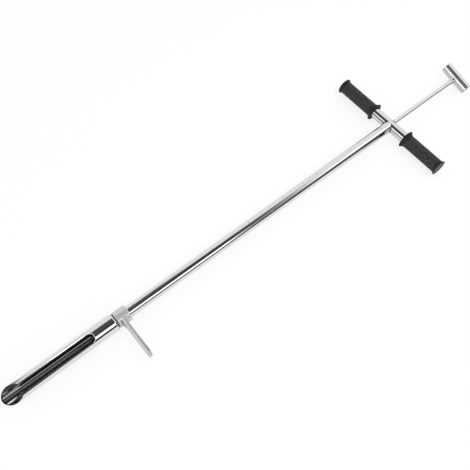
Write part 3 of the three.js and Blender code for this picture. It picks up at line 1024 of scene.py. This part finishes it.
@dataclass
class CrossHandle:
    """The crossbar and its two rubber grips."""

    layout: Layout
    radius: float = 12.5 * MM
    wall: float = 2 * MM
    bush_hole: float = 6.6 * MM
    bush_sides: int = 64
    grip_radius: float = 15.7 * MM
    flange_radius: float = 21.5 * MM
    flange_lip: float = 1.6 * MM
    flange_edge: float = 0.9 * MM
    flange_dish: float = 2.2 * MM
    # The dish's hollow: shares of its depth, each at a distance out from the bar or in from the flange's edge.
    dish_floor: tuple[tuple[float, float], ...] = ((1.0, 1.2 * MM), (0.7, 3.4 * MM))
    dish_edge: tuple[float, float] = (0.3, 3.2 * MM)
    cone: float = 8 * MM
    cone_power: float = 0.62
    rim_radius: float = 19 * MM
    rim_lip: float = 1.6 * MM
    rim_flare: float = 7 * MM
    rim_power: float = 1.7
    rim_inner: float = 0.4 * MM
    groove_depth: float = 0.5 * MM
    groove_inner: float = 1.2 * MM
    dome: float = 1.8 * MM
    dome_inner: float = 2 * MM
    end_wall: float = 4 * MM
    dot_fade: float = 2 * MM
    sides: int = 160
    sharp: float = 40

    def build(self) -> None:
        """Builds the bar and both grips."""
        self.bar()
        self.grip("grip_sleeve_left", "grip_left", 1)
        self.grip("grip_sleeve_right", "grip_right", -1)

    def bar(self) -> None:
        """Models the crossbar with the hole for the rod's bush."""
        low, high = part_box("crossbar_tube")
        bore = self.radius - self.wall
        crossing = self.layout.crossing()
        outline = [(low.y, bore), (low.y, self.radius), (high.y, self.radius), (high.y, bore)]
        piece = turned("crossbar_tube_round", Spindle(crossing, Y_AXIS, Z_AXIS), outline, self.sides)
        drill(piece, self.bush_hole, 4 * self.radius, crossing, ALONG_X, self.bush_sides)
        smooth(piece)
        # The crossbar's chrome gets painted shade beside the weld.
        joint_shaded = replace(CROSS_CHROME, name="chrome_plate_painted_joint_shade", joint=crossing)
        dress(piece, Body.FRAME, Slot.CHROME, joint_shaded, "crossbar_tube")

    def grip(self, name: str, node: str, side: int) -> None:
        """Models a grip: a dished flange on a cone, a round sleeve and a flared rim round a low dome.

        Args:
            name: The piece's name.
            node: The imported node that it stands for.
            side: 1 for the grip towards +Y, -1 for the other.
        """
        low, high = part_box(node)
        inner, outer = (low.y, high.y) if side > 0 else (-high.y, -low.y)
        length = outer - inner
        bore = self.radius + FIT
        lip = self.flange_lip / 2
        rim = length - self.dome - self.rim_lip
        flare = rim - self.rim_flare
        crossing = self.layout.crossing()
        outline = [
            (length - self.end_wall, 0), (length - self.end_wall, bore), (self.flange_dish, bore),
            *[(self.flange_dish * share, self.radius + out) for share, out in self.dish_floor],
            (self.flange_dish * self.dish_edge[0], self.flange_radius - self.dish_edge[1]),
            *arc(lip, self.flange_radius - lip, lip, 220, 40, 8),
            *self.sweep(self.flange_lip, self.flange_radius - self.flange_edge,
                        self.flange_lip + self.cone, self.grip_radius, self.cone_power),
            *self.sweep(flare, self.grip_radius, rim - self.rim_lip / 2,
                        self.rim_radius - self.rim_lip * 0.7, self.rim_power),
            *arc(rim, self.rim_radius - self.rim_lip / 2, self.rim_lip / 2, 130, 0, 6),
            *self.crown(length, rim),
        ]
        spindle = Spindle(crossing + Y_AXIS * (side * inner), Y_AXIS * side, Z_AXIS)
        piece = turned(name, spindle, outline, self.sides)
        smooth(piece, self.sharp)
        dots_start, dots_end = inner + self.flange_lip + self.cone, inner + flare
        rubber = MouldedRubber(
            f"grip_rubber_{'left' if side > 0 else 'right'}", centre=crossing,
            inner=Edge(dots_start, dots_start + self.dot_fade),
            outer=Edge(dots_end, dots_end - self.dot_fade),
        )
        dress(piece, Body.FRAME, Slot.GRIP, rubber, node)
        dome_start = spindle.point(rim, 0).y * side

        def on_dome(face: bpy.types.MeshPolygon) -> bool:
            """Says whether a face is on the low dome inside the rim."""
            off_axis = math.hypot(face.center.x - crossing.x, face.center.z - crossing.z)
            return face.center.y * side > dome_start and off_axis < self.rim_radius - self.rim_lip - MM

        # Painted highlight: the low dome at the grip's end is coloured paler than the rubber.
        second_finish(piece, GRIP_END_PAINTED_HIGHLIGHT, on_dome)

    def sweep(self, start: float, first: float, end: float, last: float, power: float,
              steps: int = 7) -> Outline:
        """Gives a curve between two radii that leaves fast below a power of 1 and late above it."""
        shares = [step / steps for step in range(steps + 1)]
        return [(start + (end - start) * share, first + (last - first) * share ** power)
                for share in shares]

    def crown(self, length: float, rim: float, steps: int = 8) -> Outline:
        """Gives the low dome inside the rim, with a groove between them.

        Args:
            length: The grip's length.
            rim: Where the rim's middle is.
            steps: Number of straight stretches of the dome.

        Returns:
            Points as distances along and off the grip's axis.
        """
        edge = self.rim_radius - self.rim_lip
        points = [(rim, edge - self.rim_inner), (rim - self.groove_depth, edge - self.groove_inner)]
        for step in range(steps + 1):
            angle = math.pi / 2 * step / steps
            points.append((rim + (length - rim) * math.sin(angle), (edge - self.dome_inner) * math.cos(angle)))
        points[-1] = (length, 0)
        return points


@dataclass
class DepthCollar:
    """The cast foot collar."""

    layout: Layout
    radius: float = 17.5 * MM
    length: float = 29.6 * MM
    edge: float = 2.4 * MM
    bore: float = 12.7 * MM
    screw_radius: float = 4.2 * MM
    arm_reach: float = 107.5 * MM
    arm_width: float = 10.2 * MM
    arm_depth: float = 9 * MM
    arm_offset: float = 1.7 * MM
    arm_edge: float = 1.8 * MM
    arm_turn: float = math.radians(-5)
    ridge_share: float = 0.02
    fall_share: float = 0.6
    tip_slope: float = 13 * MM
    tip_round: float = 4 * MM
    tip_flat: float = 2.5 * MM
    web_reach: float = 40 * MM
    flare_reach: float = 27 * MM
    flare_width: float = 19 * MM
    root_angle: float = math.radians(32)
    steps: int = 12
    voxel: float = 0.5 * MM
    sides: int = 128
    sharp: float = 40

    def build(self) -> None:
        """Models the casting: sleeve and arm run into each other, then the holes are bored."""
        low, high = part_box("foot_collar")
        middle = (low.x + high.x) / 2
        arm_middle = middle - self.arm_offset
        half = self.length / 2
        outline = [
            (-half, 0), *arc(self.edge - half, self.radius - self.edge, self.edge, 180, 90, 8),
            *arc(half - self.edge, self.radius - self.edge, self.edge, 90, 0, 8), (half, 0),
        ]
        piece = turned("cast_collar", Spindle(Vector((middle, 0, 0)), X_AXIS, Z_AXIS), outline, self.sides)
        combine(piece, self.arm(arm_middle), "UNION")
        apply_modifier(piece, "REMESH", mode="VOXEL", voxel_size=self.voxel, use_smooth_shade=True)
        apply_modifier(piece, "SMOOTH", factor=0.5, iterations=4)
        drill(piece, self.bore, 4 * self.length, Vector((middle, 0, 0)), ALONG_X, self.sides)
        drill(piece, self.screw_radius, 2 * self.radius, Vector((middle, self.radius, 0)), ALONG_Y,
              self.sides)
        piece.rotation_euler = (self.arm_turn, 0, 0)
        piece.location = (0, 0, self.layout.height)
        settle(piece)
        smooth(piece, self.sharp)
        # The arm's root places the painted shade of the crease and of the arm.
        cast = replace(CAST, root=Vector((arm_middle, 0, self.layout.height)))
        dress(piece, Body.COLLAR, Slot.CAST, cast, "foot_collar")

    def arm(self, middle: float) -> Piece:
        """Models the foot arm by extruding a face ring by ring, from inside the sleeve to the tip.

        The upper side is flat towards the handle and falls towards the tip of the tool.

        Args:
            middle: The place of the arm's middle along the tool.

        Returns:
            The arm.
        """
        rings = self.rings()
        reach, left, right, depth = rings[0]
        ridge = middle - self.ridge_share * self.arm_width
        bpy.ops.object.select_all(action="DESELECT")
        bpy.ops.mesh.primitive_plane_add(
            size=1, location=(middle + (left + right) / 2, -reach, 0), rotation=ALONG_Y,
        )
        arm = bpy.context.active_object
        arm.scale = (right - left, 2 * depth, 1)
        settle(arm)
        with editing("VERT", "SELECT"):
            for reach_next, left_next, right_next, depth_next in rings[1:]:
                centre = (left + right) / 2
                shift = (left_next + right_next) / 2 - centre
                bpy.ops.mesh.extrude_region_move(
                    TRANSFORM_OT_translate={"value": (shift, reach - reach_next, 0)})
                bpy.ops.transform.resize(
                    value=((right_next - left_next) / (right - left), 1, depth_next / depth),
                    center_override=(middle + centre + shift, -reach_next, 0),
                )
                reach, left, right, depth = reach_next, left_next, right_next, depth_next
            bpy.ops.mesh.select_all(action="SELECT")
            bpy.ops.mesh.bisect(plane_co=(ridge, 0, 0), plane_no=X_AXIS)
            bpy.ops.mesh.select_all(action="DESELECT")
            pick(arm.data.vertices, lambda vertex: vertex.co.z > 0 and vertex.co.x < ridge - MM)
            bpy.ops.transform.resize(value=(1, 1, 1 - self.fall_share), center_override=(middle, 0, 0))
            bpy.ops.mesh.select_all(action="SELECT")
            bpy.ops.mesh.normals_make_consistent(inside=False)
        apply_modifier(arm, "BEVEL", width=self.arm_edge, segments=4, limit_method="ANGLE",
                       angle_limit=math.radians(50))
        return arm

    def rings(self) -> list[tuple[float, float, float, float]]:
        """Works out the arm's sections.

        Returns:
            The reach from the shaft's axis, the left and the right edge and half the depth of each.
        """
        half_width = self.arm_width / 2
        half_depth = self.arm_depth / 2
        start = self.radius * math.sin(self.root_angle)
        root_depth = self.radius * math.cos(self.root_angle)
        steps = self.steps
        rings = []
        for step in range(steps + 1):
            reach = start + (self.web_reach - start) * step / steps
            wide = max(0.0, 1 - (reach - start) / (self.flare_reach - start)) ** 2
            deep = (1 - step / steps) ** 2
            side = half_width + (self.flare_width / 2 - half_width) * wide
            rings.append((reach, -side, side, half_depth + (root_depth - half_depth) * deep))
        for step in range(steps + 1):
            share = math.sin(math.pi / 2 * step / steps)
            reach = self.arm_reach - self.tip_slope * (1 - share)
            gone = max(0.0, 1 - (self.arm_reach - reach) / self.tip_round)
            rounded = 1 - math.sqrt(1 - gone ** 2)
            cut = (self.arm_width - self.tip_round - self.tip_flat) * (1 - math.sqrt(1 - share ** 2))
            rings.append((reach, self.tip_round * rounded - half_width, half_width - cut,
                          half_depth - self.arm_edge * rounded))
        return rings


@dataclass
class PushHandle:
    """The push rod and the T-handle on its upper end."""

    layout: Layout
    rod_radius: float = 4.75 * MM
    rod_chamfer: float = 0.8 * MM
    rod_sides: int = 64
    radius: float = 12.5 * MM
    wall: float = 2 * MM
    cap_lip: float = 1.5 * MM
    cap_chamfer: float = 0.6 * MM
    cap_spigot: float = 6 * MM
    boss_radius: float = 9 * MM
    boss_foot: float = 6.1 * MM
    boss_height: float = 8 * MM
    boss_power: float = 2.6
    boss_steps: int = 10
    boss_sides: int = 96
    sides: int = 128

    def build(self) -> None:
        """Builds the rod, the handle's tube, its two caps and the weld between handle and rod."""
        self.rod()
        self.tube()
        self.cap("tee_cap_left", "handle_cap_left", 1)
        self.cap("tee_cap_right", "handle_cap_right", -1)
        self.weld()

    def cross(self) -> Spindle:
        """Finds the handle's axis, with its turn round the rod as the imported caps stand.

        Returns:
            The axis, from the middle of the handle.
        """
        low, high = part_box("handle_tube")
        cap_low, cap_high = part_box("handle_cap_left")
        cap = (cap_low + cap_high) / 2
        turn = math.atan2(cap.z - self.layout.height, cap.y)
        direction = Vector((0, math.cos(turn), math.sin(turn)))
        return Spindle(Vector(((low.x + high.x) / 2, 0, self.layout.height)), direction, X_AXIS)

    def half_length(self) -> float:
        """Gives half the handle's length over its caps."""
        axis = self.cross().axis
        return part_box("handle_cap_left")[1].y / axis.y - self.radius * axis.z / axis.y

    def rod(self) -> None:
        """Models the rod."""
        low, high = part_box("push_rod")
        bottom, top = low.x - self.layout.tip, high.x - self.layout.tip
        radius, chamfer = self.rod_radius, self.rod_chamfer
        outline = [(bottom, 0), (bottom, radius - chamfer), (bottom + chamfer, radius),
                   (top - chamfer, radius), (top, radius - chamfer), (top, 0)]
        piece = turned("polished_rod", self.layout.axis(), outline, self.rod_sides)
        smooth(piece)
        dress(piece, Body.ROD, Slot.CHROME, CHROME, "push_rod")

    def tube(self) -> None:
        """Models the handle's tube."""
        half = self.half_length() - self.cap_lip - FIT
        bore = self.radius - self.wall
        outline = [(-half, bore), (-half, self.radius), (half, self.radius), (half, bore)]
        piece = turned("tee_tube", self.cross(), outline, self.sides)
        smooth(piece)
        dress(piece, Body.ROD, Slot.CHROME, CROSS_CHROME, "handle_tube")

    def cap(self, name: str, node: str, side: int) -> None:
        """Models a cap pressed into an end of the handle.

        Args:
            name: The piece's name.
            node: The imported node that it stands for.
            side: 1 for the cap towards +Y, -1 for the other.
        """
        across = self.cross()
        face = self.half_length()
        lip = face - self.cap_lip
        spigot = self.radius - self.wall - FIT
        shoulder = self.radius - self.cap_chamfer
        outline = [
            (face, 0), (face, shoulder),
            *arc(face - self.cap_chamfer, shoulder, self.cap_chamfer, 0, 90, 4),
            (lip, self.radius), (lip, spigot), (lip - self.cap_spigot, spigot), (lip - self.cap_spigot, 0),
        ]
        piece = turned(name, Spindle(across.centre, across.axis * side, across.outward), outline, self.sides)
        smooth(piece)
        dress(piece, Body.ROD, Slot.CHROME, CROSS_CHROME, node)

    def weld(self) -> None:
        """Models the weld: a hollow-sided cone round the rod that fits the underside of the handle."""
        across = self.cross()
        foot = across.centre.x - self.layout.tip - self.radius - self.boss_height
        top = foot + self.boss_height + self.radius
        bore = self.rod_radius + WELD_GAP
        outline = [(foot, bore)]
        for step in range(self.boss_steps + 1):
            share = step / self.boss_steps
            outline.append((foot + self.boss_height * share,
                            self.boss_foot + (self.boss_radius - self.boss_foot) * share ** self.boss_power))
        outline += [(top, self.boss_radius), (top, bore)]
        piece = turned("tee_weld", self.layout.axis(), outline, self.boss_sides)
        turn = (math.atan2(across.axis.z, across.axis.y) - math.pi / 2, 0, 0)
        drill(piece, self.radius + WELD_GAP, 6 * self.radius, across.centre, turn, self.sides)
        smooth(piece)
        dress(piece, Body.ROD, Slot.CHROME, CHROME, "handle_boss")


@dataclass
class InnerPieces:
    """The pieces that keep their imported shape."""

    steel: tuple[str, ...] = ("collar_grub_screw", "rod_shoulder", "shoulder_pin", "washer_upper",
                              "washer_lower", "piston_disc", "rod_nut")
    bronze: tuple[str, ...] = ("head_bush", "crossbar_bush")
    rubber: tuple[str, ...] = ("rod_wiper", "piston_ring")

    def build(self) -> None:
        """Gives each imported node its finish."""
        for names, finish in ((self.steel, STEEL), (self.bronze, BRONZE), (self.rubber, SEAL)):
            for name in names:
                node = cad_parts[name]
                node.data.materials.clear()
                node.data.materials.append(finish.material())
                LOG.info("%s: packed shape, %s", name, finish.name)


# The studio


@dataclass(frozen=True)
class Card:
    """A card or a soft box that polished metal reflects, as a range of directions.

    A direction is given by its part along the tool, by its angle round the tool in degrees, from straight up
    towards +Y, by its height, the part that points up, and by its part across the tool.
    """

    level: float
    along: tuple[Edge, ...]
    around: tuple[Edge, ...] = ()
    height: tuple[Edge, ...] = ()
    across: tuple[Edge, ...] = ()


@dataclass
class Studio:
    """Floor, light and camera. A later card hides what lies behind it."""

    floor_size: float = 6.0
    floor_drop: float = 0.2 * MM
    paper: str = "#F3F3F3"
    white: str = "#FFFFFF"
    paper_share: float = 0.8
    mirrored_paper_share: float = 0.6
    # How bright metal mirrors the paper: from and to along the tool, and the level at each.
    mirrored_fade: tuple[float, float, float, float] = (0.2, 0.5, 0.85, 0.45)
    # A black flag on the paper, beyond the tip and towards +Y.
    flag_end: Edge = Edge(-0.598, -0.615)
    flag_side: Edge = Edge(0.0, 0.02)
    world_level: float = 0.95
    reflected_level: float = 0.88
    cards: tuple[Card, ...] = (
        # Bands along the tubes and the rod.
        Card(1.6, (Edge(-0.4, -0.3), Edge(0.33, 0.27)), (Edge(-73, -68), Edge(-37, -41))),
        Card(0.28, (Edge(0.27, 0.32), Edge(0.44, 0.36)), (Edge(-80, -76), Edge(-34, -42))),
        Card(0.045, (Edge(-0.7, -0.5), Edge(0.5, 0.3)), (Edge(-41, -37), Edge(48, 25))),
        Card(0.17, (Edge(-0.8, -0.7), Edge(0.05, -0.15)), (Edge(-12, -9), Edge(1, -3))),
        Card(0.1, (Edge(-0.2, -0.1), Edge(0.2, 0.1)), (Edge(-9, -4), Edge(9, 4))),
        Card(0.16, (Edge(0.0, 0.15), Edge(0.3, 0.22)), (Edge(15, 18), Edge(30, 24))),
        Card(0.88, (Edge(0.12, 0.25),), (Edge(14, 22), Edge(70, 60))),
        Card(0.88, (Edge(0.26, 0.36),), (Edge(5, 10), Edge(70, 60))),
        Card(0.05, (Edge(0.22, 0.28), Edge(0.44, 0.36)), (Edge(-7, -3), Edge(10, 5))),
        Card(0.13, (Edge(-0.3, -0.2), Edge(0.0, -0.1)), (Edge(-31, -28), Edge(-21, -25))),
        Card(0.03, (Edge(-0.7, -0.6), Edge(0.0, -0.04)), (Edge(-93, -89), Edge(-67, -73))),
        Card(0.03, (Edge(-0.04, 0.0), Edge(0.75, 0.7)), (Edge(-98, -93), Edge(-63, -69))),
        Card(0.06, (Edge(0.34, 0.4),), (Edge(-90, -84), Edge(-42, -52))),
        Card(1.35, (Edge(0.38, 0.5),), (Edge(-45, -38), Edge(-8, -18))),
        # Light and dark on the sides of the crossbar and the handle that look towards the tip.
        Card(1.5, (Edge(-0.68, -0.76),), height=(Edge(0.4, 0.48),)),
        Card(0.25, (Edge(-0.8, -0.87),), height=(Edge(0.06, 0.12), Edge(0.4, 0.32)),
             across=(Edge(0.12, 0.2),)),
        Card(0.08, (Edge(-0.78, -0.84),), height=(Edge(-0.02, 0.03), Edge(0.5, 0.42)),
             across=(Edge(0.29, 0.32),)),
        # Lines in the bore, seen through the mouth and the slot.
        Card(0.42, (Edge(0.0, -0.03), Edge(-0.3, -0.2)), (Edge(-20, -16), Edge(-8, -11))),
        Card(0.05, (Edge(-0.085, -0.1), Edge(-0.3, -0.2)), (Edge(20, 24), Edge(37, 33))),
        Card(2.2, (Edge(-0.085, -0.1), Edge(-0.3, -0.2)), (Edge(33, 37), Edge(55, 51))),
        Card(0.08, (Edge(-0.095, -0.115), Edge(-0.3, -0.2)), (Edge(55, 59),)),
        Card(0.1, (Edge(-0.09, -0.12), Edge(-0.3, -0.2)), (Edge(-95, -90), Edge(-56, -58))),
        Card(0.7, (Edge(-0.09, -0.12), Edge(-0.3, -0.2)), (Edge(-56, -54), Edge(-42, -44))),
    )
    lamp_place: Vector = Vector((0.2, -0.9, 1.6))
    lamp_size: tuple[float, float] = (1.6, 1.0)
    lamp_power: float = 9.0
    camera_place: Vector = Vector((-0.4585, -0.4762, 1.1876))
    camera_view: Vector = Vector((0.2912, 0.3627, -0.8853))
    camera_up: Vector = Vector((0.5553, 0.6894, 0.4651))
    lens: float = 46.97
    sensor: float = 36.0
    clip: tuple[float, float] = (0.01, 50.0)

    def build(self) -> None:
        """Builds the studio."""
        self.floor()
        self.world()
        self.lamp()
        self.camera()

    def floor(self) -> None:
        """Models the floor, white to the camera but for the object's soft shadow."""
        bpy.ops.object.select_all(action="DESELECT")
        bpy.ops.mesh.primitive_plane_add(size=self.floor_size, location=(0, 0, -self.floor_drop))
        plane = bpy.context.active_object
        plane.name = "studio_floor"
        made = bpy.data.materials.new("studio_paper")
        made.use_nodes = True
        made.node_tree.nodes.clear()
        sheet = NodeSheet(made.node_tree)
        rays = sheet.add("LightPath").node.outputs
        parts = sheet.add("SeparateXYZ", (sheet.add("TexCoord").node.outputs["Object"],)).node.outputs
        pale = sheet.add("Math", (rays["Is Camera Ray"], rays["Is Glossy Ray"]), operation="MAXIMUM")
        pale = sheet.add("Math", (pale, rays["Is Transmission Ray"]), operation="MAXIMUM")
        share = sheet.add("Mix", (rays["Is Glossy Ray"], self.paper_share, self.mirrored_paper_share))
        shown = sheet.add("Math", (pale, share), operation="MULTIPLY")
        mirrored = sheet.add("MapRange", (parts["X"], *self.mirrored_fade))
        flag = sheet.mask((parts["X"], self.flag_end), (parts["Y"], self.flag_side), ease="SMOOTHSTEP")
        mirrored = sheet.add("Mix", (flag, mirrored, 0.0))
        glow = sheet.add("Mix", (rays["Is Glossy Ray"], 1.0, mirrored))
        lit = sheet.add("BsdfDiffuse", (linear(self.paper),))
        white = sheet.add("Emission", (linear(self.white), glow))
        sheet.add("OutputMaterial", (sheet.add("MixShader", (shown, lit, white)),))
        plane.data.materials.append(made)

    def world(self) -> None:
        """Builds the surroundings: white to the camera, and with cards where polished metal reflects them."""
        world = bpy.data.worlds.new("studio_surroundings")
        bpy.context.scene.world = world
        world.use_nodes = True
        world.node_tree.nodes.clear()
        sheet = NodeSheet(world.node_tree)
        rays = sheet.add("LightPath").node.outputs
        direction = sheet.add("TexCoord").node.outputs["Generated"]
        along, across, height = sheet.add("SeparateXYZ", (direction,)).node.outputs
        turn = sheet.add("Math", (across, height), operation="ARCTAN2")
        around = sheet.add("Math", (turn,), operation="DEGREES")
        level = self.reflected_level
        for card in self.cards:
            sides = ((along, card.along), (around, card.around), (height, card.height),
                     (across, card.across))
            seen = sheet.mask(*[(value, edge) for value, edges in sides for edge in edges],
                              ease="SMOOTHSTEP")
            level = sheet.add("Mix", (seen, level, card.level))
        glossy = sheet.add("Mix", (rays["Is Glossy Ray"], self.world_level, level))
        strength = sheet.add("Mix", (rays["Is Camera Ray"], glossy, 1.0))
        sheet.add("OutputWorld", (sheet.add("Background", (linear(self.white), strength)),))

    def lamp(self) -> None:
        """Hangs a soft lamp over the tool, out of the camera's and the metal's sight."""
        bpy.ops.object.light_add(type="AREA", location=self.lamp_place)
        lamp = bpy.context.active_object
        lamp.name = "soft_lamp"
        lamp.data.shape = "RECTANGLE"
        lamp.data.size, lamp.data.size_y = self.lamp_size
        lamp.data.energy = self.lamp_power
        lamp.rotation_mode = "QUATERNION"
        lamp.rotation_quaternion = (ORIGIN - lamp.location).to_track_quat("-Z", "Y")
        lamp.visible_glossy = False

    def camera(self) -> None:
        """Sets the camera as the photograph was taken."""
        bpy.ops.object.camera_add(location=self.camera_place)
        camera = bpy.context.active_object
        camera.name = "photo_camera"
        forward = self.camera_view.normalized()
        right = forward.cross(self.camera_up).normalized()
        up = right.cross(forward)
        camera.rotation_mode = "QUATERNION"
        camera.rotation_quaternion = Matrix((right, up, -forward)).transposed().to_quaternion()
        camera.data.sensor_width = self.sensor
        camera.data.lens = self.lens
        camera.data.clip_start, camera.data.clip_end = self.clip
        bpy.context.scene.camera = camera


def main() -> None:
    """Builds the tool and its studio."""
    logging.basicConfig(level=logging.INFO, format="%(name)s %(message)s")
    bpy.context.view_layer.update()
    bpy.context.scene.view_settings.view_transform = "Standard"
    layout = Layout()
    builders = (SamplingBarrel(layout), Shaft(layout), CrossHandle(layout), DepthCollar(layout),
                PushHandle(layout), InnerPieces())
    for builder in builders:
        LOG.info("building %s", type(builder).__name__)
        builder.build()
    Studio().build()


if __name__ == "__main__":
    main()
